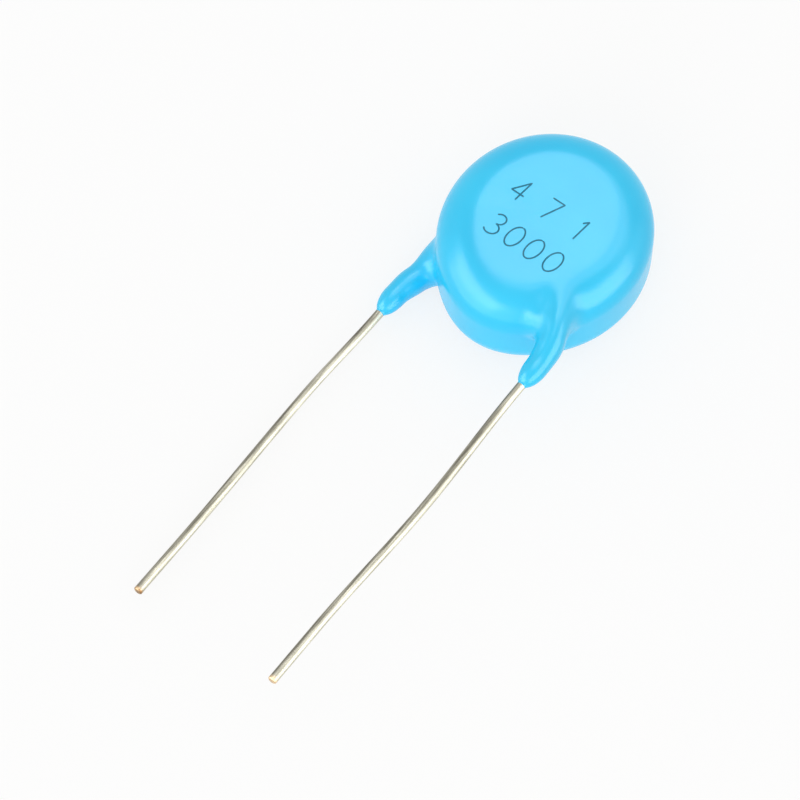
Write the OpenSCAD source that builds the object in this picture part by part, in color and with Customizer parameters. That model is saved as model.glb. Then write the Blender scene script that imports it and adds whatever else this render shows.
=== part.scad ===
// Disc ceramic capacitor with two straight radial leads and a dipped epoxy coat.
// It lies on its back face. The origin is the middle of that face, +Z points out of
// the marked front face, the leads run towards -Y, and the front lead is at +X.
// Lengths are in millimetres and angles in degrees.

/* [Ceramic] */
// Diameter of the ceramic disc
ceramic_d = 12; // [10:0.1:13]
// Thickness of the ceramic disc
ceramic_t = 3.35; // [2.5:0.05:4.5]
// Break along both edges of the ceramic disc
ceramic_edge = 0.25; // [0.1:0.05:0.4]
// Thickness of each silver electrode
electrode_t = 0.05; // [0.02:0.01:0.1]
// Bare ceramic left round each electrode
electrode_margin = 0.75; // [0.4:0.05:1.2]

/* [Leads] */
// Distance between the two leads, centre to centre
lead_pitch = 12.5; // [11:0.1:13.5]
// Sideways offset of the lead pair from the middle of the coat
lead_shift = -0.25; // [-0.5:0.05:0.5]
// Diameter of the wire
wire_d = 0.65; // [0.5:0.05:0.8]
// Bare length of the front lead, from its leg of the coat to the cut end
front_bare = 27.3; // [20:0.1:35]
// Bare length of the back lead, from its leg of the coat to the cut end
back_bare = 26.7; // [20:0.1:35]
// Straight length at each cut end
straight_end = 5; // [3:0.5:8]
// How far the front lead bows outwards between its leg and its straight end
front_bow = 0.3; // [0.1:0.05:0.6]
// How far the back lead bows outwards
back_bow = 0.2; // [0.1:0.05:0.6]
// Share of the front lead's bowed length at which it is furthest out
front_peak = 0.5; // [0.2:0.05:0.8]
// Share of the back lead's bowed length at which it is furthest out
back_peak = 0.35; // [0.2:0.05:0.8]
// Bend radius with which each lead turns inwards under the coat
turn_r = 10; // [9.5:0.5:11]
// Distance from the middle of the ceramic, towards the legs, at which each lead ends
lead_end = 0.84; // [0.4:0.02:1.2]
// Distance below the body at which the turn starts
turn_out = 1.5; // [1:0.1:2]
// Bevel of the cut ends
cut_bevel = 0.08; // [0.04:0.02:0.12]

/* [Solder] */
// Film of solder between each electrode and its wire
solder_film = 0.05; // [0.05:0.01:0.1]
// Wall of solder round the wire
solder_wall = 0.35; // [0.2:0.05:0.5]
// Length of wire that each solder joint covers
solder_len = 2.8; // [2:0.1:3.2]

/* [Coat] */
// Wall of the coat over each face of the ceramic
face_wall = 2.12; // [1.9:0.02:2.5]
// Wall of the coat at the sides of the ceramic
side_wall = 1.45; // [1.2:0.05:2]
// Wall of the coat at the top of the ceramic, and at its bottom before the sag
end_wall = 2; // [1.5:0.05:2.5]
// Extra bulge of resin between the legs
sag = 0.6; // [0:0.05:0.9]
// Distance over which the shoulders run inwards
shoulder_run = 2.8; // [2:0.05:3.2]
// Extra run of the shoulders on the side of the legs
shoulder_extra = 0.4; // [0:0.05:0.8]
// Height over which the shoulders round off
shoulder_rise = 2.6; // [2:0.05:2.8]
// Radius over which the legs flow into the body
blend = 1.2; // [0.8:0.05:1.6]

/* [Legs] */
// Length of the front leg below the body
front_leg = 2.8; // [2.4:0.1:4]
// Length of the back leg below the body
back_leg = 2.5; // [2.4:0.1:4]
// Wall of the coat round the wire along a leg
leg_wall = 0.53; // [0.4:0.01:0.65]
// Extra wall where a leg meets the body
root_wall = 0.14; // [0:0.01:0.25]
// Wall of the coat at the tip of a leg
tip_wall = 0.1; // [0.06:0.01:0.2]
// Wall round the wire where the ridge has sunk below the face
sunk_wall = 0.22; // [0.1:0.01:0.3]
// Length of the rounded tip of a leg
tip_len = 1.6; // [1.2:0.1:1.8]

/* [Fit] */
// Clearance between the coat and what it encloses, and between each wire and its solder
bond_gap = 0.02; // [0.01:0.01:0.04]

/* [Detail] */
// Stations along each side of a leg
leg_stations = 14; // [14:1:26]
// Stations round the rim of the body outside the legs
rim_stations = 24; // [24:2:40]
// Rows from the back face to the front face
rows = 14; // [14:2:24]

/* [Hidden] */
$fn = 96;
FRONT = 1;                                   // the side of the lead at +X and +Z
BACK = -1;                                   // the side of the lead at -X and -Z
DOWN = -90;                                  // direction of the legs in plan
wire_r = wire_d / 2;
electrode_d = ceramic_d - 2 * electrode_margin;
electrode_z = ceramic_t / 2 + electrode_t;   // outer face of an electrode, from mid-plane
lead_z = electrode_z + solder_film + wire_r; // axis of a wire, from mid-plane
coat_w = ceramic_d + 2 * side_wall;
coat_l = ceramic_d + 2 * end_wall;
coat_t = ceramic_t + 2 * face_wall;
solder_r = wire_r + solder_wall;
tip_r = wire_r + tip_wall;
sag_fade = 30;                               // angle over which the sag fades out
extra_fade = 60;                             // angle over which the longer shoulder fades out
ridge_start = 1.5;                           // where the ridge starts to sink, along the turn,
ridge_run = 5.8;                             // and the length over which it sinks
tip_start = 1;                               // middle of a leg's rounded tip, along the route
root_past = 1;                               // how far past the start of the turn a leg swells
tiny = 0.01;                                 // keeps the body's outline defined on its axis
core_share = 0.7;                            // share of the turn at which the rays reach the core
drop_start = 1.3;                            // how far outside the body the rays of a leg
                                             // start to drop towards mid-plane
splay_out = 36;                              // angle of the core's outer ray to the lead
lean_start = 12;                             // angle of the turn from which inner rays lean over,
lean_in = 1.5;                               // and how far in from the wire they aim there
lean_end = [2.8, -coat_l / 2];               // point at which the core's inner ray aims
row_pull = 0.45;                             // how much the rows gather on the shoulders
tip_rays = 6;                                // steps round the tip of a leg
march_steps = 26;                            // steps of a ray on its way to the surface
rim_ratio = 3;                               // stations round the rim to one between the legs
bow_rings = 24;                              // steps along the bowed stretch of a lead
bow_sides = 16;                              // and round it
bow_fit = 0.998;                             // its radius, as a share of the wire's
bow_lap = 0.3;                               // how far it reaches into the wire at both ends

// ---- small helpers ----
function clamp(v, lo, hi) = min(max(v, lo), hi);
function ease(v) = let (t = clamp(v, 0, 1)) t * t * (3 - 2 * t);
function mix(a, b, t) = a + (b - a) * t;
function bell(a, width) = exp(-pow(a / width, 2));
function angle_between(a, b) = (a - b + 540) % 360 - 180;
function smooth_min(a, b) =
    let (h = max(blend - abs(a - b), 0) / blend) min(a, b) - h * h * blend / 4;

// ---- route of a lead in plan, s from the tip of its leg: straight, then the turn ----
function tip_y(side) = -coat_l / 2 - (side == FRONT ? front_leg : back_leg);
turn_x = lead_pitch / 2 - turn_r;            // centre of the turn
turn_y = -coat_l / 2 - turn_out;
turn_angle = asin((-lead_end - turn_y) / turn_r);
turn_run = turn_r * turn_angle * PI / 180;
function leg_run(side) = turn_y - tip_y(side);
function turn_at(side, s) = clamp((s - leg_run(side)) / turn_run, 0, 1) * turn_angle;
function on_turn(a) = [turn_x + turn_r * cos(a), turn_y + turn_r * sin(a)];
function route(side, s) = on_turn(turn_at(side, s)) - [0, max(leg_run(side) - s, 0)];
function place(side, p) = [lead_shift + side * p[0], p[1]];

// ---- the coat as a field, negative inside and zero on its surface ----
// Body: an oval with rounded shoulders that bulges between the legs.
function body_field(p) =
    let (r = max(norm([p[0], p[1]]), tiny),
         off = angle_between(atan2(p[1], p[0]), DOWN),
         rim = r / norm([p[0] / (coat_w / 2), p[1] / (coat_l / 2)]) + sag * bell(off, sag_fade),
         run = shoulder_run + shoulder_extra * bell(off, extra_fade),
         u = (r - rim) / run + 1,
         v = (abs(p[2]) - coat_t / 2) / shoulder_rise + 1,
         round = min(u, v) > 0 ? norm([u, v]) : max(u, v))
    (round - 1) * min(run, shoulder_rise);

// Radius of the coat round a wire: rounded tip, leg, swollen root, ridge that sinks away.
function leg_r(side, s) =
    let (tip = clamp(1 - s / tip_len, 0, 1),
         grow = ease((s - tip_len) / (leg_run(side) + root_past)),
         sink = ease((s - leg_run(side) - ridge_start) / ridge_run),
         wall = mix(tip_wall, leg_wall, sqrt(1 - tip * tip)) + root_wall * grow)
    wire_r + mix(wall, sunk_wall, sink);

// Leg: distance to the route of its wire, less that radius.
function leg_field(side, p) =
    let (q = [side * (p[0] - lead_shift), p[1]],
         a = clamp(atan2(q[1] - turn_y, q[0] - turn_x), 0, turn_angle),
         s = q[1] < turn_y ? q[1] - tip_y(side) : leg_run(side) + turn_r * a * PI / 180,
         d = norm(q - route(side, max(s, 0))))
    norm([d, p[2] - side * lead_z]) - leg_r(side, max(s, 0));

function coat_field(p) =
    smooth_min(smooth_min(body_field(p), leg_field(FRONT, p)), leg_field(BACK, p));

// ---- rays from the core of the coat to its surface: [start, direction, row pull] ----
// Each ray is a fan of rows that stands on edge. Along a leg the fans start on the wire,
// and round the body they start on a small ring.
function march(p, way, steps) =
    steps == 0 ? p : march(p - coat_field(p) * way, way, steps - 1);
function core_s(side) = leg_run(side) + turn_run * core_share;
function core(side) = place(side, route(side, core_s(side)));
function faced(side, way) = side == FRONT ? way : 180 - way;

// How deep the wire lies inside the body's outline, and how far the rays have dropped there:
// not at all along the leg, and all the way to mid-plane at the core.
function depth(side, s) =
    let (p = place(side, route(side, s))) -body_field([p[0], p[1], 0]);
function dropped(side, s) =
    ease((depth(side, s) + drop_start) / (depth(side, core_s(side)) + drop_start));

// Outer rays stand square to the wire and lean back towards its tip further in.
function outer_way(side, s) =
    DOWN + turn_at(side, s) + mix(90, splay_out, dropped(side, s));

// Inner rays do the same up to the body, then each aims further along its underside.
function inner_way(side, s) =
    let (start = leg_run(side) + turn_r * lean_start * PI / 180,
         from = [turn_x, turn_y] + (turn_r - lean_in) * [cos(lean_start), sin(lean_start)],
         aim = mix(from, lean_end, (s - start) / (core_s(side) - start)) - route(side, s))
    s < start ? 2 * DOWN + turn_at(side, s) : atan2(aim[1], aim[0]);

function leg_ray(side, out, k) =
    let (s = mix(tip_start, core_s(side), k / leg_stations),
         at = place(side, route(side, s)))
    [[at[0], at[1], side * lead_z * (1 - dropped(side, s))],
     faced(side, out ? outer_way(side, s) : inner_way(side, s)),
     row_pull * dropped(side, s)];

function tip_ray(side, k) =
    [leg_ray(side, true, 0)[0], (side == FRONT ? -180 : 180) + 180 * k / tip_rays, 0];

function ring_ray(from, to, from_way, to_way, turns, t) =
    let (r = mix(norm(from), norm(to), t),
         a = mix(atan2(from[1], from[0]), atan2(to[1], to[0]) + turns, t))
    [[r * cos(a), r * sin(a), 0], mix(from_way, to_way, t), row_pull];

// The whole loop, anticlockwise: up the outside of the front leg, round the body, down and
// up the back leg, along the body between the legs, and down the front leg.
inner_stations = floor(rim_stations / rim_ratio);
front_out = faced(FRONT, outer_way(FRONT, core_s(FRONT)));
back_out = faced(BACK, outer_way(BACK, core_s(BACK)));
front_in = faced(FRONT, inner_way(FRONT, core_s(FRONT)));
back_in = faced(BACK, inner_way(BACK, core_s(BACK))) - 360;
rays = [
    for (k = [0 : leg_stations]) leg_ray(FRONT, true, k),
    for (k = [1 : rim_stations - 1])
        ring_ray(core(FRONT), core(BACK), front_out, back_out, 360, k / rim_stations),
    for (k = [leg_stations : -1 : 0]) leg_ray(BACK, true, k),
    for (k = [1 : tip_rays - 1]) tip_ray(BACK, k),
    for (k = [0 : leg_stations]) leg_ray(BACK, false, k),
    for (k = [1 : inner_stations - 1])
        ring_ray(core(BACK), core(FRONT), back_in, front_in, 0, k / inner_stations),
    for (k = [leg_stations : -1 : 0]) leg_ray(FRONT, false, k),
    for (k = [1 : tip_rays - 1]) tip_ray(FRONT, k)
];
back_leg_at = leg_stations + rim_stations;
back_tip_at = back_leg_at + leg_stations;
back_inside_at = back_tip_at + tip_rays;
inner_at = back_inside_at + leg_stations;
front_inside_at = inner_at + inner_stations;
front_tip_at = front_inside_at + leg_stations;

// The fans of one leg start on the same points, so they share their first and last rows.
function shared(i) =
    i <= back_tip_at ? i
    : i < back_inside_at ? back_tip_at
    : i <= inner_at ? back_tip_at - (i - back_inside_at)
    : i < front_inside_at ? i
    : max(front_tip_at - i, 0);
function row_angle(j, pull) =
    let (w = 2 * j / rows - 1) 90 * (w + pull * sin(360 * w) / (2 * PI));
function coat_point(ray, j) =
    let (up = row_angle(j, ray[2]), flat = j == 0 || j == rows ? 0 : cos(up))
    march(ray[0], [flat * cos(ray[1]), flat * sin(ray[1]), sin(up)], march_steps);
function corner(i, j) = (j == 0 || j == rows ? shared(i) : i) * (rows + 1) + j;
function is_face(f) = f[0] != f[1] && f[1] != f[2] && f[2] != f[0];

module coat_skin() {
    points = [for (ray = rays, j = [0 : rows]) coat_point(ray, j)];
    skin = [
        for (i = [0 : len(rays) - 1], j = [0 : rows - 1])
            let (n = (i + 1) % len(rays),
                 a = corner(i, j), b = corner(n, j), c = corner(n, j + 1), d = corner(i, j + 1))
            for (f = [[a, d, c], [a, c, b]]) if (is_face(f)) f
    ];
    ring = [for (i = [leg_stations : back_leg_at]) i,
            for (i = [inner_at + 1 : front_inside_at - 1]) i];
    back_face = [for (i = ring) corner(i, 0)];
    front_face = [for (k = [len(ring) - 1 : -1 : 0]) corner(ring[k], rows)];
    polyhedron(points, concat(skin, [back_face, front_face]), convexity = 6);
}

// ---- lead ----
module on_side(side) {
    translate([lead_shift, 0, coat_t / 2 + side * lead_z])
        mirror([side == BACK ? 1 : 0, 0, 0])
            children();
}

module wire(length, r = wire_r) {
    rotate([90, 0, 0]) cylinder(h = length, r = r);
}

// A straight stretch that ends in a bevelled cut.
module cut_wire(length) {
    rotate([90, 0, 0])
        rotate_extrude()
            polygon([[0, 0], [wire_r, 0], [wire_r, length - cut_bevel],
                     [wire_r - cut_bevel, length], [0, length]]);
}

// The bowed stretch, as rings across the run. They are a hair thinner than the wire and
// reach into the straight stretches at both ends.
function bow_shape(t, peak) = t < peak ? ease(t / peak) : ease((1 - t) / (1 - peak));

module bowed_wire(length, bow, peak) {
    r = bow_fit * wire_r;
    ys = [bow_lap, for (k = [0 : bow_rings]) -length * k / bow_rings, -length - bow_lap];
    points = [for (y = ys, k = [0 : bow_sides - 1])
        let (a = 360 * k / bow_sides)
        [bow * bow_shape(clamp(-y / length, 0, 1), peak) + r * cos(a), y, r * sin(a)]];
    sides = [for (i = [0 : len(ys) - 2], k = [0 : bow_sides - 1])
        let (n = (k + 1) % bow_sides, row = i * bow_sides)
        [row + k, row + bow_sides + k, row + bow_sides + n, row + n]];
    start = [for (k = [0 : bow_sides - 1]) k];
    end = [for (k = [bow_sides - 1 : -1 : 0]) (len(ys) - 1) * bow_sides + k];
    polyhedron(points, concat(sides, [start, end]));
}

// The part of a lead under the coat, down to the end of its leg.
module covered_wire(side, r) {
    translate([turn_x, turn_y, 0])
        rotate_extrude(angle = turn_angle)
            translate([turn_r, 0])
                circle(r);
    translate([lead_pitch / 2, turn_y, 0])
        wire(leg_run(side) + tip_r, r);
}

module lead(side) {
    bare = side == FRONT ? front_bare : back_bare;
    bow = side == FRONT ? front_bow : back_bow;
    peak = side == FRONT ? front_peak : back_peak;
    bowed = bare - straight_end;
    bare_y = tip_y(side) - tip_r;
    on_side(side) {
        covered_wire(side, wire_r);
        translate([lead_pitch / 2, bare_y, 0]) {
            bowed_wire(bowed, bow, peak);
            translate([0, -bowed, 0]) cut_wire(straight_end);
        }
    }
}

// ---- ceramic, electrodes and solder; gap grows them into their cavity ----
module ceramic(gap = 0) {
    r = ceramic_d / 2 + gap;
    h = ceramic_t / 2 + gap;
    translate([0, 0, coat_t / 2])
        rotate_extrude()
            polygon([[0, -h], [r - ceramic_edge, -h], [r, ceramic_edge - h],
                     [r, h - ceramic_edge], [r - ceramic_edge, h], [0, h]]);
}

module electrode(side, gap = 0) {
    h = electrode_t + gap;
    translate([0, 0, coat_t / 2 + side * ceramic_t / 2 - (side == BACK ? h : 0)])
        cylinder(h = h, d = electrode_d + 2 * gap);
}

// A mound round the end of the wire, flat on the electrode.
module solder_mound(side, gap = 0) {
    r = solder_r + gap;
    base = side == FRONT ? -wire_r - solder_film : wire_r + solder_film - 2 * r;
    on_side(side)
        translate(on_turn(turn_angle))
            rotate([0, 0, turn_angle - asin(solder_len / (2 * turn_r))])
                intersection() {
                    union() {
                        wire(solder_len, r);
                        for (y = [0, -solder_len]) translate([0, y, 0]) sphere(r);
                    }
                    translate([-r, -solder_len - r, base]) cube([2 * r, solder_len + 2 * r, 2 * r]);
                }
}

module solder(side) {
    difference() {
        solder_mound(side);
        on_side(side) covered_wire(side, wire_r + bond_gap);
    }
}

// ---- coat: the skin, hollow round everything that it encloses ----
module coat() {
    difference() {
        translate([0, 0, coat_t / 2]) coat_skin();
        ceramic(bond_gap);
        for (side = [FRONT, BACK]) {
            electrode(side, bond_gap);
            solder_mound(side, bond_gap);
            on_side(side) covered_wire(side, wire_r + bond_gap);
        }
    }
}

module epoxy_coat() { color("deepskyblue") coat(); }
module ceramic_disc() { color("sandybrown") ceramic(); }
module front_electrode() { color("gainsboro") electrode(FRONT); }
module back_electrode() { color("gainsboro") electrode(BACK); }
module front_solder() { color("darkgray") solder(FRONT); }
module back_solder() { color("darkgray") solder(BACK); }
module front_lead() { color("silver") lead(FRONT); }
module back_lead() { color("silver") lead(BACK); }

epoxy_coat();
ceramic_disc();
front_electrode();
back_electrode();
front_solder();
back_solder();
front_lead();
back_lead();
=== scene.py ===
# Looks for a blue disc ceramic capacitor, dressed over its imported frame.
# Shape values are in millimetres and degrees, in the frame's own axes, with z counted from the
# middle of the coat until a piece is placed; the floor and the lamps are in metres.
import math

import bpy
import numpy as np
from mathutils import Matrix


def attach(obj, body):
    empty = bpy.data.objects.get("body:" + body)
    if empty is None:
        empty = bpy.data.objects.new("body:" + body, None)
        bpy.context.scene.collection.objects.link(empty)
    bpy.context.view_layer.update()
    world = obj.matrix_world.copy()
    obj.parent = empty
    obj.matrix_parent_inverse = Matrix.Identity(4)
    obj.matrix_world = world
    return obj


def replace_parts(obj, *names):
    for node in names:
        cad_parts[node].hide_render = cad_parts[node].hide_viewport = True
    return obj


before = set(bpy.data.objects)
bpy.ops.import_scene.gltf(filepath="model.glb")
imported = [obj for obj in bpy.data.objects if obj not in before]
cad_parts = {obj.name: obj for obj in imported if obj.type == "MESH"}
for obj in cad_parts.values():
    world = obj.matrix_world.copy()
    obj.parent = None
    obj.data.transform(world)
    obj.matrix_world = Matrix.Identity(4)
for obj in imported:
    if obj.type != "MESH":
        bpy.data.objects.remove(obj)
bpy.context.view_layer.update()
mm = 0.001
print("frame loaded:", sorted(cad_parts))

# values shared by the pieces
front, back = 1, -1                              # the lead at +X and +Z, and its mate
body = {
    "ceramicWidth": 12.0, "ceramicThick": 3.35, "electrodeThick": 0.05, "solderFilm": 0.05,
    "faceWall": 2.12, "sideWall": 1.45, "endWall": 2.0,     # resin over faces, sides and ends
    "wireWidth": 0.65, "leadPitch": 12.5, "leadShift": -0.25,
    "turnRadius": 10.0, "turnOut": 1.5, "leadEnd": 0.84,    # a lead's arc, and where it stops
    "legLength": {front: 2.8, back: 2.5}, "tipWall": 0.1,
}
wireRadius = body["wireWidth"] / 2
coatWide = body["ceramicWidth"] + 2 * body["sideWall"]
coatLong = body["ceramicWidth"] + 2 * body["endWall"]
coatThick = body["ceramicThick"] + 2 * body["faceWall"]
leadHeight = body["ceramicThick"] / 2 + body["electrodeThick"] + body["solderFilm"] + wireRadius
turnCentre = (body["leadPitch"] / 2 - body["turnRadius"], -coatLong / 2 - body["turnOut"])
turnAngle = math.degrees(math.asin((-body["leadEnd"] - turnCentre[1]) / body["turnRadius"]))
turnRun = body["turnRadius"] * math.radians(turnAngle)


def ease(value):
    # cubic ease from 0 to 1, flat at both ends
    t = np.clip(value, 0, 1)
    return t * t * (3 - 2 * t)


def bell(away, width):
    # Gaussian bell, 1 in its middle
    return np.exp(-(away / width) ** 2)


def tipPlace(side):
    # where the tip of a leg lies along y
    return -coatLong / 2 - body["legLength"][side]


def legRun(side):
    # straight run of a lead, from the tip of its leg to the start of its arc
    return turnCentre[1] - tipPlace(side)


def turnAt(side, s):
    # how far the arc has turned at s, in degrees
    return np.clip((s - legRun(side)) / turnRun, 0, 1) * turnAngle


def route(side, s):
    # plan of a lead, s from the tip of its leg: a straight run, then an arc turning inwards
    angle = np.radians(turnAt(side, s))
    return (turnCentre[0] + body["turnRadius"] * np.cos(angle),
            turnCentre[1] + body["turnRadius"] * np.sin(angle) - np.maximum(legRun(side) - s, 0))


def besideRoute(side, x, y):
    # a point's place across the part on the side of a lead, and the run s of the route beside it
    across = side * (x - body["leadShift"])
    angle = np.degrees(np.arctan2(y - turnCentre[1], across - turnCentre[0]))
    onArc = legRun(side) + body["turnRadius"] * np.radians(np.clip(angle, 0, turnAngle))
    return across, np.maximum(np.where(y < turnCentre[1], y - tipPlace(side), onArc), 0)


# meshes
def buildPiece(name, points, faces, material):
    # points in millimetres; faces as a list of index arrays, one array for each number of corners
    mesh = bpy.data.meshes.new(name)
    mesh.from_pydata((points * mm).tolist(), [], sum((f.tolist() for f in faces), []))
    mesh.polygons.foreach_set("use_smooth", np.full(len(mesh.polygons), True))
    mesh.validate()
    mesh.update()
    piece = bpy.data.objects.new(name, mesh)
    bpy.context.scene.collection.objects.link(piece)
    mesh.materials.append(material)
    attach(piece, "root")
    print("made", name, len(mesh.polygons), "faces")
    return piece


def gridFaces(rings, sides, closed=True):
    # quads between neighbouring rings of a swept profile, counted ring after ring
    strips = sides if closed else sides - 1
    i, k = np.meshgrid(np.arange(rings - 1), np.arange(strips), indexing="ij")
    nextK = (k + 1) % sides
    quads = np.stack([i * sides + k, i * sides + nextK,
                      (i + 1) * sides + nextK, (i + 1) * sides + k], -1)
    return quads.reshape(-1, 4)


# materials
evenly = (1, 1, 1)                               # a pattern that isn't stretched
firstColour, secondColour, mixedColour = 6, 7, 2     # colour sockets of a Mix node


def newMaterial(name):
    material = bpy.data.materials.new(name)
    material.use_nodes = True
    tree = material.node_tree
    return material, tree, tree.nodes["Principled BSDF"]


def addNode(tree, kind, inputs=(), **settings):
    # a node with its settings, and its inputs given as {socket: value or other socket}
    node = tree.nodes.new(kind)
    for key, value in settings.items():
        setattr(node, key, value)
    for key, value in dict(inputs).items():
        if isinstance(value, bpy.types.NodeSocket):
            tree.links.new(value, node.inputs[key])
        else:
            node.inputs[key].default_value = value
    return node


def mathNode(tree, operation, *values, clamp=False):
    node = addNode(tree, "ShaderNodeMath", dict(enumerate(values)),
                   operation=operation, use_clamp=clamp)
    return node.outputs[0]


def mixColours(tree, factor, first, second, blend="MIX"):
    # from the first colour to the second as the factor runs from 0 to 1
    inputs = {"Factor": factor, firstColour: first, secondColour: second}
    mix = addNode(tree, "ShaderNodeMix", inputs, data_type="RGBA", blend_type=blend)
    return mix.outputs[mixedColour]


def twoTone(tree, factor, span, tones):
    # from a dark to a light tone as the factor runs over the span
    spread = addNode(tree, "ShaderNodeMapRange",
                     {"Value": factor, "From Min": span[0], "From Max": span[1]})
    return mixColours(tree, spread.outputs["Result"], *tones)


def setSockets(shader, values):
    for key, value in values.items():
        shader.inputs[key].default_value = value


def colourOf(red, green, blue):
    # linear colour from screen values between 0 and 255
    screen = np.array([red, green, blue]) / 255
    linear = np.where(screen <= 0.04045, screen / 12.92, ((screen + 0.055) / 1.055) ** 2.4)
    return (*linear.tolist(), 1.0)


def objectPattern(tree, stretch, noiseScale, detail, roughness=0.5):
    # noise on Object coordinates, which are multiplied by the stretch for each axis
    place = addNode(tree, "ShaderNodeTexCoord")
    stretched = addNode(tree, "ShaderNodeMapping",
                        {"Vector": place.outputs["Object"], "Scale": stretch})
    noise = addNode(tree, "ShaderNodeTexNoise",
                    {"Vector": stretched.outputs["Vector"], "Scale": noiseScale,
                     "Detail": detail, "Roughness": roughness})
    return noise.outputs["Fac"]


def addBump(tree, shader, height, strength, distance):
    bump = addNode(tree, "ShaderNodeBump",
                   {"Height": height, "Strength": strength, "Distance": distance})
    tree.links.new(bump.outputs["Normal"], shader.inputs["Normal"])


epoxyLook = {
    "tones": (colourOf(32, 198, 244), colourOf(40, 204, 248)), "toneSpan": (0.35, 0.65),
    "cloudScale": 160.0, "cloudDetail": 2.0,
    "rippleScale": 420.0, "rippleDetail": 1.0, "ripple": 0.05, "rippleDepth": 0.0004,
    "sockets": {"Roughness": 0.24, "IOR": 1.5},
}


def epoxyMaterial():
    # glossy blue, with faint clouds in its colour and a faint ripple on its surface
    material, tree, shader = newMaterial("blueEpoxy")
    cloud = objectPattern(tree, evenly, epoxyLook["cloudScale"], epoxyLook["cloudDetail"])
    tree.links.new(twoTone(tree, cloud, epoxyLook["toneSpan"], epoxyLook["tones"]),
                   shader.inputs["Base Color"])
    ripple = objectPattern(tree, evenly, epoxyLook["rippleScale"], epoxyLook["rippleDetail"])
    addBump(tree, shader, ripple, epoxyLook["ripple"], epoxyLook["rippleDepth"])
    setSockets(shader, epoxyLook["sockets"])
    return material


wireLook = {
    "brightTin": (colourOf(190, 187, 168), colourOf(226, 223, 206)), "brightSpan": (0.35, 0.65),
    # painted shade: paintedShadeTin is a darker tin for the side of each wire that faces up towards
    # -x, in place of shade; brightTin is the tin's own colour
    "paintedShadeTin": (colourOf(98, 95, 85), colourOf(182, 179, 164)), "paintedShadeSpan": (0.38, 0.64),
    "copper": (colourOf(138, 104, 68), colourOf(222, 196, 160)), "copperSpan": (-0.15, 0.3),
    "stains": ((0.35, 0.34, 0.32, 1), (1, 1, 1, 1)), "stainSpan": (0.35, 0.65), "stainShare": 0.5,
    "roughness": (0.58, 0.36), "roughnessSpan": (0.3, 0.7),
    "streakPattern": ((1, 0.03, 1), 7000.0, 4.0, 0.6),      # long lines from the drawing die
    "stainPattern": ((1, 0.5, 1), 520.0, 3.0, 0.65),
    "grainPattern": (evenly, 5200.0, 3.0),
    "raggedness": 0.8,                           # how far the streaks break up the edge of the painted shade
    "bump": 0.25, "bumpDepth": 0.00006,
}


def wireMaterial():
    # tin with streaks and stains, with painted shade on the side of each wire that faces up towards
    # -x, and copper where cutShare is 1; the shade's share, cutShare and tarnish are attributes of
    # its points
    material, tree, shader = newMaterial("tinnedWire")
    streaks = objectPattern(tree, *wireLook["streakPattern"])
    stains = objectPattern(tree, *wireLook["stainPattern"])
    grain = objectPattern(tree, *wireLook["grainPattern"])
    paintedShadeShare, cutShare, tarnish = (
        addNode(tree, "ShaderNodeAttribute", attribute_name=mark).outputs["Fac"]
        for mark in ("paintedShadeShare", "cutShare", "tarnish"))
    # painted shade, with its edge broken up by the streaks, mixes the darker tones into the tin
    ragged = mathNode(tree, "MULTIPLY_ADD", streaks, wireLook["raggedness"],
                      -wireLook["raggedness"] / 2)
    raggedPaintedShade = mathNode(tree, "ADD", paintedShadeShare, ragged, clamp=True)
    tin = mixColours(tree, raggedPaintedShade,
                     twoTone(tree, streaks, wireLook["brightSpan"], wireLook["brightTin"]),
                     twoTone(tree, streaks, wireLook["paintedShadeSpan"], wireLook["paintedShadeTin"]))
    stain = twoTone(tree, stains, wireLook["stainSpan"], wireLook["stains"])
    stained = mixColours(tree, wireLook["stainShare"], tin, stain, "MULTIPLY")
    patches = mathNode(tree, "SUBTRACT", grain, tarnish)
    copper = twoTone(tree, patches, wireLook["copperSpan"], wireLook["copper"])
    tree.links.new(mixColours(tree, cutShare, stained, copper), shader.inputs["Base Color"])
    rough = addNode(tree, "ShaderNodeMapRange", {
        "Value": streaks,
        "From Min": wireLook["roughnessSpan"][0], "From Max": wireLook["roughnessSpan"][1],
        "To Min": wireLook["roughness"][0], "To Max": wireLook["roughness"][1]})
    tree.links.new(rough.outputs["Result"], shader.inputs["Roughness"])
    addBump(tree, shader, streaks, wireLook["bump"], wireLook["bumpDepth"])
    setSockets(shader, {"Metallic": 1.0})
    return material


# ink and sealed pieces: dark and light tone, noise scale, roughness, metal, bump and gloss
speckledLooks = {
    "darkInk": ((38, 114, 138), (52, 130, 156), 2600.0, 0.5, 0.0, 0.02, 0.1),
    "firedCeramic": ((196, 164, 128), (216, 186, 150), 1500.0, 0.7, 0.0, 0.1, 0.5),
    "firedSilver": ((196, 196, 192), (222, 222, 218), 2400.0, 0.4, 0.9, 0.1, 0.5),
    "solderTin": ((150, 152, 156), (188, 190, 194), 1800.0, 0.35, 1.0, 0.1, 0.5),
}
speckles = {"span": (0.3, 0.7), "detail": 4.0, "depth": 0.0001}


def speckledMaterial(name):
    # two tones mixed by fine noise, which also roughens the surface
    dark, light, noiseScale, roughness, metallic, bump, gloss = speckledLooks[name]
    material, tree, shader = newMaterial(name)
    grain = objectPattern(tree, evenly, noiseScale, speckles["detail"])
    tones = colourOf(*dark), colourOf(*light)
    tree.links.new(twoTone(tree, grain, speckles["span"], tones), shader.inputs["Base Color"])
    addBump(tree, shader, grain, bump, speckles["depth"])
    setSockets(shader, {"Roughness": roughness, "Metallic": metallic, "Specular IOR Level": gloss})
    return material


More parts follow.
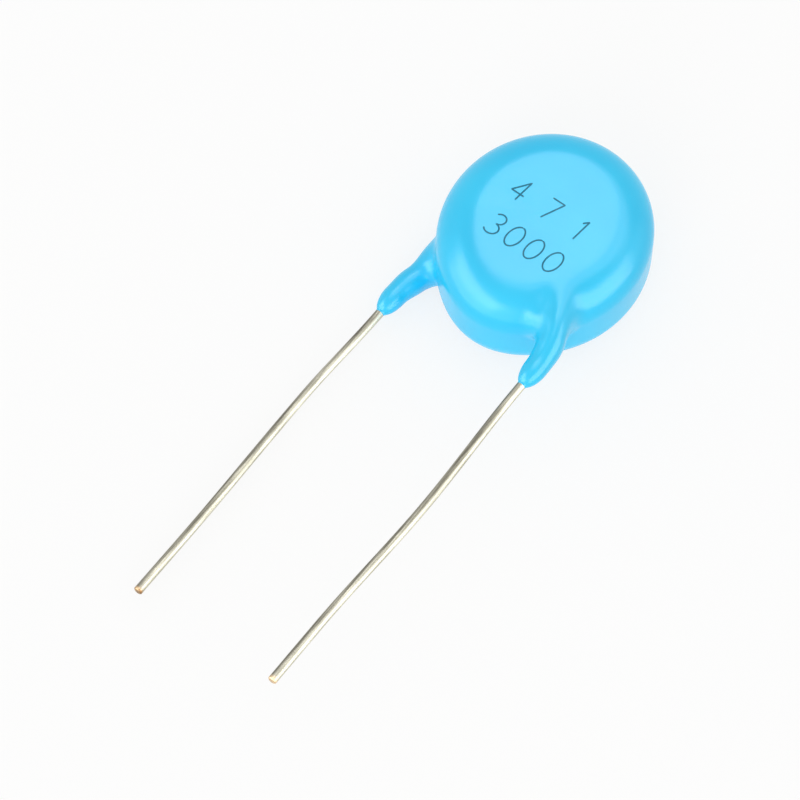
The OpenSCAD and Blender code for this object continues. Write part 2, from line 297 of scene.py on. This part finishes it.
epoxy = epoxyMaterial()
wireMetal = wireMaterial()
ink = speckledMaterial("darkInk")
ceramic, silver, solder = map(speckledMaterial, ("firedCeramic", "firedSilver", "solderTin"))
innerLooks = {
    "ceramic_disc": ceramic, "front_electrode": silver, "back_electrode": silver,
    "front_solder": solder, "back_solder": solder,
}
for nodeName, material in innerLooks.items():
    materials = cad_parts[nodeName].data.materials
    materials.clear()
    materials.append(material)
print("materials ready")

# coat: one dipped skin over body, legs and ridges
coat = {
    # body: resin that sagged between the legs, and shoulders that run further in there
    "sag": 0.6, "sagFade": 30.0,
    "shoulderRun": 2.8, "shoulderRise": 2.6, "shoulderExtra": 0.4, "extraFade": 60.0,
    # legs: resin over the wire at the tip, along the leg, more of it at the root, and inside
    "noseWall": 0.03, "legWall": 0.53, "rootWall": 0.14, "sunkWall": 0.22,
    "tipLength": 1.6, "rootPast": 1.0, "ridgeStart": 1.5, "ridgeRun": 5.8,
    # blend of legs and body, and webs in their corners: place, blend added there, and reach
    "blend": 1.2,
    "webs": {front: (((3.7, -6.0, 2.6), 1.3, 1.7),),
             back: (((-7.3, -4.7, -1.9), 1.9, 2.1), ((-4.4, -6.8, -1.8), -0.75, 1.3))},
    # crown of resin over each wire, and the shallow valley on its inner side
    "crownShare": 0.8, "crownWidth": 0.95, "crownFrom": 1.6, "crownRun": 3.6,
    "crownLow": -0.3, "crownHigh": 0.5,
    "grooveDepth": 0.12, "grooveAside": -1.25, "grooveWidth": 0.55,
    "grooveFrom": 4.4, "grooveRun": 1.6, "grooveEnd": 8.0,
    # rays that find the skin: where they start, and which way they lean
    "tipStart": 1.0, "coreShare": 0.7, "dropStart": 1.3, "splayOut": 36.0,
    "leanStart": 12.0, "leanIn": 1.5, "leanEnd": (2.8, -8.0), "rowPull": 0.45,
    # grid
    "legStations": 88, "rimStations": 144, "innerStations": 48, "tipStations": 64,
    "rows": 88, "middleRings": 12, "steps": 70,
}


def smoothMin(a, b, blend):
    # the lower of two fields, rounded off by a parabola where they are closer than the blend
    h = np.maximum(blend - np.abs(a - b), 0) / blend
    return np.minimum(a, b) - h * h * blend / 4


def bodyField(x, y, z):
    # an oval with elliptic shoulders, and a bulge of resin between the legs
    r = np.maximum(np.hypot(x, y), 0.01)
    off = (np.degrees(np.arctan2(y, x)) + 630) % 360 - 180      # angle from -y, either way
    oval = np.hypot(2 * x / coatWide, 2 * y / coatLong)
    rim = r / oval + coat["sag"] * bell(off, coat["sagFade"])
    run = coat["shoulderRun"] + coat["shoulderExtra"] * bell(off, coat["extraFade"])
    u = (r - rim) / run + 1
    v = (np.abs(z) - coatThick / 2) / coat["shoulderRise"] + 1
    rounded = np.where(np.minimum(u, v) > 0, np.hypot(u, v), np.maximum(u, v))
    return (rounded - 1) * np.minimum(run, coat["shoulderRise"])


def legRadius(side, s):
    # tip as the end of an ellipsoid, even leg, swollen root, then a ridge that sinks away
    full, end = wireRadius + coat["legWall"], wireRadius + coat["noseWall"]
    short = np.clip(1 - s / coat["tipLength"], 0, 1)
    taper = full * np.sqrt(1 - (1 - (end / full) ** 2) * short ** 2)
    grow = ease((s - coat["tipLength"]) / (legRun(side) + coat["rootPast"]))
    sink = ease((s - legRun(side) - coat["ridgeStart"]) / coat["ridgeRun"])
    wall = taper - wireRadius + coat["rootWall"] * grow
    return wireRadius + wall + (coat["sunkWall"] - wall) * sink


def legField(side, x, y, z):
    # distance to the route of the wire, less the radius of the coat there
    across, s = besideRoute(side, x, y)
    routeX, routeY = route(side, s)
    away = np.sqrt((across - routeX) ** 2 + (y - routeY) ** 2 + (z - side * leadHeight) ** 2)
    return away - legRadius(side, s)


def webBlend(side, x, y, z):
    # the blend of leg and body: wider where resin gathered in a corner, by a bell round its
    # place, and narrower in the back leg's inner corner
    blend = coat["blend"]
    for (placeX, placeY, placeZ), extra, reach in coat["webs"][side]:
        away = np.sqrt((x - placeX) ** 2 + (y - placeY) ** 2 + (z - placeZ) ** 2)
        blend = blend + extra * bell(away, reach)
    return blend


def coatField(x, y, z):
    # the body blended with the front leg, and that with the back leg
    dipped = smoothMin(bodyField(x, y, z), legField(front, x, y, z), webBlend(front, x, y, z))
    return smoothMin(dipped, legField(back, x, y, z), webBlend(back, x, y, z))


def coreRun(side):
    # where the rays of a leg end and those round the middle of the body take over
    return legRun(side) + turnRun * coat["coreShare"]


def dropShare(side, s):
    # how far a ray's start has dropped from the wire to mid-plane, by its depth in the body
    depths = []
    for run in (s, coreRun(side)):
        routeX, routeY = route(side, run)
        inBody = bodyField(body["leadShift"] + side * routeX, routeY, 0)
        depths.append(coat["dropStart"] - inBody)
    return ease(depths[0] / depths[1])


def outerWay(side, s):
    # outer rays stand square to the wire, and lean back towards its tip further in
    return turnAt(side, s) + (coat["splayOut"] - 90) * dropShare(side, s)


def innerWay(side, s):
    # inner rays do the same up to the body, then each aims further along its underside
    lean = math.radians(coat["leanStart"])
    start = legRun(side) + body["turnRadius"] * lean
    reach = body["turnRadius"] - coat["leanIn"]
    fromX = turnCentre[0] + reach * math.cos(lean)
    fromY = turnCentre[1] + reach * math.sin(lean)
    t = (s - start) / (coreRun(side) - start)
    routeX, routeY = route(side, s)
    aimX = fromX + (coat["leanEnd"][0] - fromX) * t - routeX
    aimY = fromY + (coat["leanEnd"][1] - fromY) * t - routeY
    return np.where(s < start, -180 + turnAt(side, s), np.degrees(np.arctan2(aimY, aimX)))


def legRays(side, way, steps):
    # rays of one side of a leg, from its tip to the core: place, direction and row pull
    s = coat["tipStart"] + (coreRun(side) - coat["tipStart"]) * steps / coat["legStations"]
    drop = dropShare(side, s)
    routeX, routeY = route(side, s)
    turn = way(side, s)
    return np.stack([body["leadShift"] + side * routeX, routeY, side * leadHeight * (1 - drop),
                     turn if side == front else 180 - turn, coat["rowPull"] * drop], -1)


def tipRays(side):
    # half a turn of rays round the tip of a leg
    share = np.arange(1, coat["tipStations"]) / coat["tipStations"]
    start = legRays(side, outerWay, np.zeros(1))[0]
    turn = (-180 if side == front else 180) + 180 * share
    place = [start[axis] + 0 * share for axis in range(3)]
    return np.stack([*place, turn, 0 * share], -1)


def ringRays(begin, end, turns, stations):
    # rays between two cores, along a spiral round the middle of the body
    share = np.arange(1, stations) / stations
    radii = np.hypot(begin[0], begin[1]), np.hypot(end[0], end[1])
    angles = (math.degrees(math.atan2(begin[1], begin[0])),
              math.degrees(math.atan2(end[1], end[0])) + turns)
    radius = radii[0] + (radii[1] - radii[0]) * share
    angle = np.radians(angles[0] + (angles[1] - angles[0]) * share)
    return np.stack([radius * np.cos(angle), radius * np.sin(angle), 0 * share,
                     begin[3] + (end[3] - begin[3]) * share, coat["rowPull"] + 0 * share], -1)


def coatFans():
    # rays in their order round the part: the front leg's outer side, the rim, the back leg's
    # outer side, its tip and inner side, the underside, and the front leg's inner side and tip
    up, down = np.arange(coat["legStations"] + 1), np.arange(coat["legStations"], -1, -1)
    frontOut, backOut = legRays(front, outerWay, up), legRays(back, outerWay, down)
    backIn, frontIn = legRays(back, innerWay, up), legRays(front, innerWay, down)
    backIn[:, 3] -= 360
    rim = ringRays(frontOut[-1], backOut[0], 360, coat["rimStations"])
    underside = ringRays(backIn[-1], frontIn[0], 0, coat["innerStations"])
    return [frontOut, rim, backOut, tipRays(back), backIn, underside, frontIn, tipRays(front)]


def marchRays(rays, rows):
    # each ray opens into a fan that stands on edge, from straight down to straight up, and its
    # points move out by what the field says until that is nought
    spread = 2 * np.arange(rows + 1) / rows - 1
    rise = np.radians(90 * (spread + rays[:, 4:5] * np.sin(2 * np.pi * spread) / (2 * np.pi)))
    flat = np.cos(rise)
    flat[:, [0, -1]] = 0
    turn = np.radians(rays[:, 3:4])
    way = np.stack([flat * np.cos(turn), flat * np.sin(turn), np.sin(rise)], -1)
    points = np.repeat(rays[:, None, :3], rows + 1, axis=1)
    for _ in range(coat["steps"]):
        points = points - coatField(*np.moveaxis(points, -1, 0))[..., None] * way
    return points


def crownLegs(points):
    # resin that ran thicker over the wires: lifts the skin along each route towards the level of
    # its face, by a share that grows from the tip, fades sideways as a bell and stops below the
    # wire; a valley, also a bell across, is sunk beside it
    for side in (front, back):
        y = points[..., 1]
        across, s = besideRoute(side, points[..., 0], y)
        routeX, routeY = route(side, s)
        away = np.hypot(across - routeX, y - routeY)
        fromCentre = np.hypot(across - turnCentre[0], y - turnCentre[1])
        aside = np.where(y < turnCentre[1], across - turnCentre[0], fromCentre)
        aside = aside - body["turnRadius"] - coat["grooveAside"]
        height = side * points[..., 2]
        above = height - leadHeight - coat["crownLow"]
        over = ease(above / (coat["crownHigh"] - coat["crownLow"]))
        share = coat["crownShare"] * ease((s - coat["crownFrom"]) / coat["crownRun"])
        lift = share * bell(away, coat["crownWidth"]) * over
        begun = ease((s - coat["grooveFrom"]) / coat["grooveRun"])
        left = ease((coat["grooveEnd"] - s) / coat["grooveRun"])
        sink = coat["grooveDepth"] * (begun * left) * bell(aside, coat["grooveWidth"]) * over
        points[..., 2] += side * ((coatThick / 2 - height) * lift - sink)
    return points


def coatSkin():
    # Rays march from the wire and from a small ring inside the body out to the surface where
    # the blended field is zero. Each fan of rays makes one column of the grid.
    fans = coatFans()
    starts = np.cumsum([0] + [len(fan) for fan in fans])
    count, rows = starts[-1], coat["rows"]
    points = crownLegs(marchRays(np.concatenate(fans), rows))

    # the two fans of a leg start on the same points, so they share their first and last rows
    shared = np.arange(count)
    shared[starts[3]:starts[4]] = starts[3] - 1
    shared[starts[4]:starts[5]] = np.arange(starts[3] - 1, starts[2] - 1, -1)
    shared[starts[6]:starts[7]] = np.arange(starts[1] - 1, -1, -1)
    shared[starts[7]:] = 0
    j = np.arange(rows + 1)
    index = np.arange(count)[:, None] * (rows + 1) + j
    index[:, [0, -1]] = shared[:, None] * (rows + 1) + j[[0, -1]]
    after = np.roll(index, -1, axis=0)
    quads = np.stack([index[:, :-1], after[:, :-1], after[:, 1:], index[:, 1:]], -1).reshape(-1, 4)
    low, high = quads[:, 0] == quads[:, 1], quads[:, 2] == quads[:, 3]
    faces = [quads[~low & ~high], quads[low][:, [0, 2, 3]], quads[high][:, :3]]

    # flat middles of the two faces: rings that shrink to a centre point
    rim, underside = np.arange(starts[1] - 1, starts[2] + 1), np.arange(starts[5], starts[6])
    ring = np.concatenate([rim, underside])
    shares = np.linspace(1, 0, coat["middleRings"] + 2)[1:-1]
    layers = [points.reshape(-1, 3)]
    total = layers[0].shape[0]
    for row, flip in ((0, True), (rows, False)):
        border = ring * (rows + 1) + row
        outline = layers[0][border]
        centre = outline.mean(0)
        inner = centre + (outline - centre) * shares[:, None, None]
        innerIndex = total + np.arange(inner[..., 0].size).reshape(len(shares), -1)
        rings = np.concatenate([border[None], innerIndex])
        nextRings = np.roll(rings, -1, axis=1)
        band = np.stack([rings[:-1], nextRings[:-1], nextRings[1:], rings[1:]], -1).reshape(-1, 4)
        centreIndex = total + inner[..., 0].size
        fan = np.stack([rings[-1], nextRings[-1], np.full(len(ring), centreIndex)], -1)
        faces += [band[:, ::-1], fan[:, ::-1]] if flip else [band, fan]
        layers += [inner.reshape(-1, 3), centre[None]]
        total = centreIndex + 1
    allPoints = np.concatenate(layers)
    used = np.unique(np.concatenate([f.ravel() for f in faces]))
    renumber = np.full(total, -1)
    renumber[used] = np.arange(len(used))
    return allPoints[used] + (0, 0, coatThick / 2), [renumber[f] for f in faces]


coatPoints, coatFaces = coatSkin()
coatPiece = buildPiece("dippedCoat", coatPoints, coatFaces, epoxy)
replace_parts(coatPiece, "epoxy_coat")

# leads: round wire swept along its route
leads = {
    # of each lead: bare length, bow outwards and where it peaks, and how brown its copper is
    front: {"bare": 27.3, "bow": 0.3, "peak": 0.5, "tarnish": 0.2},
    back: {"bare": 26.7, "bow": 0.2, "peak": 0.35, "tarnish": 0.5},
    "straightEnd": 5.0, "copperReach": 0.16,
    # bevel of the cut end, and how far back and in its rings stand, in shares of the bevel
    "bevel": 0.08, "bevelBack": (1, 0.5, 0, 0), "bevelIn": (0, 0.35, 1, 1.6),
    "paintedShadeSide": 150.0, "paintedShadeFrom": -0.2, "paintedShadeTo": 0.55,    # side with painted shade, as an angle from +x to +z
    "sides": 40, "ringStep": 0.16, "hiddenRings": 90,
}


def leadCentres(side):
    # centre line: arc under the coat, straight leg, bow outwards and back, straight cut end
    bare, bow, peak = (leads[side][key] for key in ("bare", "bow", "peak"))
    hidden = np.linspace(legRun(side) + turnRun, -wireRadius - body["tipWall"],
                         leads["hiddenRings"])
    hiddenX, hiddenY = route(side, hidden)
    along = np.arange(0, bare - leads["bevel"], leads["ringStep"])
    share = np.clip(along / (bare - leads["straightEnd"]), 0, 1)
    sway = bow * np.where(share < peak, ease(share / peak), ease((1 - share) / (1 - peak)))
    bevels = bare - leads["bevel"] * np.array(leads["bevelBack"])
    straightX = body["leadPitch"] / 2
    x = np.concatenate([hiddenX[:-1], straightX + sway, np.full(len(bevels), straightX)])
    y = np.concatenate([hiddenY[:-1], hiddenY[-1] - along, hiddenY[-1] - bevels])
    return x, y


def markWire(piece, points, side, turn):
    # what the material needs to know: share of bare copper, of painted shade on the tin, and the
    # copper's brown
    reach = leads["copperReach"]
    cut = np.clip(1 - (points[:, 1] - points[:, 1].min() - reach) / reach, 0, 1)
    # painted shade: 1 on the side of each wire that faces up towards -x, as if it were shaded
    # there, and fading to 0 round the wire
    paintedShadeSide = math.radians(leads["paintedShadeSide"])
    facing = side * np.cos(turn) * math.cos(paintedShadeSide) + np.sin(turn) * math.sin(paintedShadeSide)
    paintedShadeByTurn = ease((facing - leads["paintedShadeFrom"]) / (leads["paintedShadeTo"] - leads["paintedShadeFrom"]))
    capMiddles = [0.5, 0.5]
    rings = (len(points) - len(capMiddles)) // len(turn)
    marks = {
        "cutShare": cut,
        "paintedShadeShare": np.append(np.tile(paintedShadeByTurn, rings), capMiddles),
        "tarnish": np.full(len(points), leads[side]["tarnish"]),
    }
    for mark, values in marks.items():
        attribute = piece.data.attributes.new(mark, "FLOAT", "POINT")
        attribute.data.foreach_set("value", values.astype(np.float32))


def leadPiece(name, side):
    # a circle carried square to the centre line, drawn in at the cut end by a small bevel
    x, y = leadCentres(side)
    rings, sides, bevelRings = len(x), leads["sides"], len(leads["bevelIn"])
    radius = np.full(rings, wireRadius)
    radius[-bevelRings:] = wireRadius - leads["bevel"] * np.array(leads["bevelIn"])
    tangentX, tangentY = np.gradient(x), np.gradient(y)
    tangentX[-bevelRings:], tangentY[-bevelRings:] = 0, -1
    size = np.hypot(tangentX, tangentY)
    turn = np.linspace(0, 2 * np.pi, sides, endpoint=False)
    sideways = np.stack([-tangentY / size, tangentX / size, 0 * size], -1)
    upward = np.array([0, 0, 1.0])
    spokes = sideways[:, None] * np.cos(turn)[:, None] + upward * np.sin(turn)[:, None]
    centres = np.stack([x, y, 0 * x], -1)
    points = (centres[:, None] + radius[:, None, None] * spokes).reshape(-1, 3)
    points = np.concatenate([points, centres[[0]], centres[[-1]]])
    points = points * (side, 1, 1) + (body["leadShift"], 0, coatThick / 2 + side * leadHeight)
    k = np.arange(sides)
    nextK = (k + 1) % sides
    lastRing = (rings - 1) * sides
    startCap = np.stack([nextK, k, np.full(sides, rings * sides)], -1)
    endCap = np.stack([lastRing + k, lastRing + nextK, np.full(sides, rings * sides + 1)], -1)
    faces = [gridFaces(rings, sides), startCap, endCap]
    if side == front:                            # the back lead is turned over by its mirroring
        faces = [f[:, ::-1] for f in faces]
    piece = buildPiece(name, points, faces, wireMetal)
    markWire(piece, points, side, turn)
    return piece


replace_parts(leadPiece("frontWire", front), "front_lead")
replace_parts(leadPiece("backWire", back), "back_lead")

# marking: plain numbers in thin ink strokes
marking = {
    "stroke": 0.125, "height": 1.78, "width": 1.06, "lift": 0.006, "slant": 0.1,
    "lines": [
        {"digits": "471", "places": [(-2.68, 0.62), (-0.1, 0.6), (2.5, 0.55)]},
        {"digits": "3000", "places": [(-2.45, -2.62), (-0.8, -2.62), (0.85, -2.62), (2.5, -2.62)]},
    ],
    "arcPoints": 40, "step": 0.03, "leastSteps": 8, "strands": 5, "leastTaper": 0.02,
}


def arc(centreX, centreY, radiusX, radiusY, begin, end):
    # points on an ellipse, in shares of the digit's width and height
    turn = np.radians(np.linspace(begin, end, marking["arcPoints"]))
    return np.stack([centreX + radiusX * np.cos(turn), centreY + radiusY * np.sin(turn)], -1)


def digitStroke(digit):
    # each digit as one pen stroke in a box from -0.5 to 0.5 each way
    strokes = {
        "0": arc(0, 0, 0.5, 0.5, 90, 450),
        "1": np.array([(-0.22, 0.3), (0.08, 0.5), (0.08, -0.5)]),
        "3": np.concatenate([arc(-0.02, 0.26, 0.42, 0.24, 150, -90),
                             arc(-0.02, -0.24, 0.5, 0.26, 90, -150)]),
        "4": np.array([(0.5, -0.18), (-0.5, -0.18), (0.2, 0.5), (0.2, -0.5)]),
        "7": np.array([(-0.48, 0.5), (0.48, 0.5), (-0.12, -0.5)]),
    }
    return strokes[digit]


def strokeRibbon(line):
    # a flat pen line: offset to both sides of the path, slightly domed, with round ends
    lengths = np.concatenate([[0], np.cumsum(np.hypot(*np.diff(line, axis=0).T))])
    stations = max(int(lengths[-1] / marking["step"]), marking["leastSteps"])
    fine = np.linspace(0, lengths[-1], stations)
    path = np.stack([np.interp(fine, lengths, line[:, axis]) for axis in (0, 1)], -1)
    tangent = np.gradient(path, axis=0)
    tangent /= np.linalg.norm(tangent, axis=1, keepdims=True)
    half = marking["stroke"] / 2
    edge = np.clip(np.minimum(fine, lengths[-1] - fine) / half, 0, 1)
    taper = np.sqrt(np.clip(1 - (1 - edge) ** 2, marking["leastTaper"], 1))
    across = np.linspace(-1, 1, marking["strands"])
    offset = (half * taper)[:, None] * across
    x = path[:, :1] - tangent[:, 1:] * offset
    y = path[:, 1:] + tangent[:, :1] * offset
    z = coatThick + marking["lift"] * (1 - across ** 2) * taper[:, None]
    return np.stack([x, y, z], -1)


def markingPiece():
    # every digit's ribbon, slanted a little and moved to its place
    points, faces, total = [], [], 0
    for line in marking["lines"]:
        for digit, place in zip(line["digits"], line["places"]):
            path = digitStroke(digit) * (marking["width"], marking["height"])
            path[:, 0] += marking["slant"] * path[:, 1]
            ribbon = strokeRibbon(path + place)
            strips = gridFaces(len(ribbon), marking["strands"], closed=False)
            faces.append(strips[:, ::-1] + total)
            points.append(ribbon.reshape(-1, 3))
            total += len(points[-1])
    return buildPiece("printedNumbers", np.concatenate(points), faces, ink)


markingPiece()

# floor, camera and lights
studio = {
    "viewAzimuth": 37.5, "viewElevation": 63.4, "pixelsPerMm": 14.2, "focusPixels": 4000.0,
    "frameSize": 800, "aimPixel": (544.8, 242.9),    # where the middle of the coat lands
    "sensor": 36, "clipStart": 0.01, "clipEnd": 20,
    "floorColour": (0.94, 0.94, 0.93, 1), "floorHalf": 3.0, "floorDrop": 0.00002,
    "floorRoughness": 0.9, "floorGloss": 0.1,
    "floorGlow": 0.78,                           # share of plain white in what is seen of the floor
    "ambient": 0.86,
    # each soft box: turn from straight left towards the viewer, height angle, width, height,
    # what it shows in reflections, and what it lights matt surfaces with
    "boxes": {
        "leftHighBox": (20, 41, 0.75, 0.3, 3.9, 0.1),
        "leftLowBox": (20, 14, 0.75, 0.3, 2.4, 0.1),
        "frontBox": (68, 24, 0.3, 0.5, 1.2, 2.3),
        "rightBox": (141, 22, 0.82, 0.5, 3.3, 0.4),
        "rightWall": (190, 28, 0.26, 0.6, 0.4, 0.2),
        "topCore": (268, 63, 0.22, 0.2, 1.9, 0.0),
        "topWide": (244, 68, 0.5, 0.46, 1.7, 0.5),
        "topRight": (206, 52, 0.3, 0.22, 0.9, 0.0),
    },
    "boxDistance": 0.6,
}
white = (1, 1, 1, 1)


def plainlySeen(tree):
    # 1 for a ray that shows the surface itself: from the camera, in a reflection, through glass
    light = addNode(tree, "ShaderNodeLightPath").outputs
    seen = mathNode(tree, "MAXIMUM", light["Is Camera Ray"], light["Is Glossy Ray"])
    return mathNode(tree, "MAXIMUM", seen, light["Is Transmission Ray"])


def makeFloor():
    # matt, so that it keeps the shadow, with a share of plain white where it is seen
    mesh = bpy.data.meshes.new("floor")
    half = studio["floorHalf"]
    corners = [(-half, -half, 0), (half, -half, 0), (half, half, 0), (-half, half, 0)]
    mesh.from_pydata(corners, [], [(0, 1, 2, 3)])
    floor = bpy.data.objects.new("floor", mesh)
    bpy.context.scene.collection.objects.link(floor)
    floor.location.z = -studio["floorDrop"]
    material, tree, shader = newMaterial("paleFloor")
    setSockets(shader, {"Base Color": studio["floorColour"], "Roughness": studio["floorRoughness"],
                        "Specular IOR Level": studio["floorGloss"]})
    glow = addNode(tree, "ShaderNodeEmission", {"Color": white, "Strength": 1.0})
    share = mathNode(tree, "MULTIPLY", plainlySeen(tree), studio["floorGlow"])
    mix = addNode(tree, "ShaderNodeMixShader",
                  {0: share, 1: shader.outputs[0], 2: glow.outputs[0]})
    tree.links.new(mix.outputs[0], tree.nodes["Material Output"].inputs["Surface"])
    mesh.materials.append(material)


def makeWorld():
    # plain white where it is seen, and the ambient level where it lights
    world = bpy.data.worlds.new("paleRoom")
    world.use_nodes = True
    tree = world.node_tree
    background = tree.nodes["Background"]
    level = addNode(tree, "ShaderNodeMapRange",
                    {"Value": plainlySeen(tree), "To Min": studio["ambient"], "To Max": 1.0})
    tree.links.new(level.outputs["Result"], background.inputs["Strength"])
    background.inputs["Color"].default_value = white
    bpy.context.scene.world = world


def makeCamera():
    turn, rise = math.radians(studio["viewAzimuth"]), math.radians(studio["viewElevation"])
    backward = np.array([math.sin(turn) * math.cos(rise), -math.cos(turn) * math.cos(rise),
                         math.sin(rise)])
    right = np.array([math.cos(turn), math.sin(turn), 0])
    upward = np.cross(backward, right)
    distance = studio["focusPixels"] / studio["pixelsPerMm"]
    middle = studio["frameSize"] / 2
    shiftX = (studio["aimPixel"][0] - middle) / studio["pixelsPerMm"]
    shiftY = (middle - studio["aimPixel"][1]) / studio["pixelsPerMm"]
    eye = (np.array([0, 0, coatThick / 2]) + backward * distance
           - right * shiftX - upward * shiftY)
    lens = bpy.data.cameras.new("studioCamera")
    lens.sensor_width = studio["sensor"]
    lens.lens = studio["focusPixels"] / studio["frameSize"] * lens.sensor_width
    lens.clip_start, lens.clip_end = studio["clipStart"], studio["clipEnd"]
    camera = bpy.data.objects.new("studioCamera", lens)
    rows = np.eye(4)
    rows[:3, 0], rows[:3, 1], rows[:3, 2], rows[:3, 3] = right, upward, backward, eye * mm
    camera.matrix_world = Matrix(rows.tolist())
    bpy.context.scene.collection.objects.link(camera)
    bpy.context.scene.camera = camera


def makeLamp(name, toBox, sideways, width, height, radiance, gloss):
    # one soft box, which either shows in reflections or lights matt surfaces
    lamp = bpy.data.lights.new(name, "AREA")
    lamp.shape = "ELLIPSE" if name.startswith("top") else "RECTANGLE"      # round overhead
    lamp.size, lamp.size_y = width, height
    area = width * height * (math.pi / 4 if lamp.shape == "ELLIPSE" else 1)
    lamp.energy = radiance * math.pi * area
    box = bpy.data.objects.new(name, lamp)
    rows = np.eye(4)
    rows[:3, 0], rows[:3, 1], rows[:3, 2] = sideways, np.cross(toBox, sideways), toBox
    rows[:3, 3] = toBox * studio["boxDistance"]
    box.matrix_world = Matrix(rows.tolist())
    box.visible_diffuse, box.visible_glossy = not gloss, gloss
    bpy.context.scene.collection.objects.link(box)


def makeBoxes():
    leftward = math.pi + math.radians(studio["viewAzimuth"])     # heading of the frame's left side
    for name, (turn, rise, width, height, shown, lighting) in studio["boxes"].items():
        heading, tilt = leftward + math.radians(turn), math.radians(rise)
        toBox = np.array([math.cos(heading) * math.cos(tilt), math.sin(heading) * math.cos(tilt),
                          math.sin(tilt)])
        sideways = np.array([-math.sin(heading), math.cos(heading), 0])
        makeLamp(name + "Shine", toBox, sideways, width, height, shown, True)
        if lighting:
            makeLamp(name + "Light", toBox, sideways, width, height, lighting, False)


makeFloor()
makeWorld()
makeCamera()
makeBoxes()
bpy.context.scene.view_settings.view_transform = "Standard"
print("studio ready")
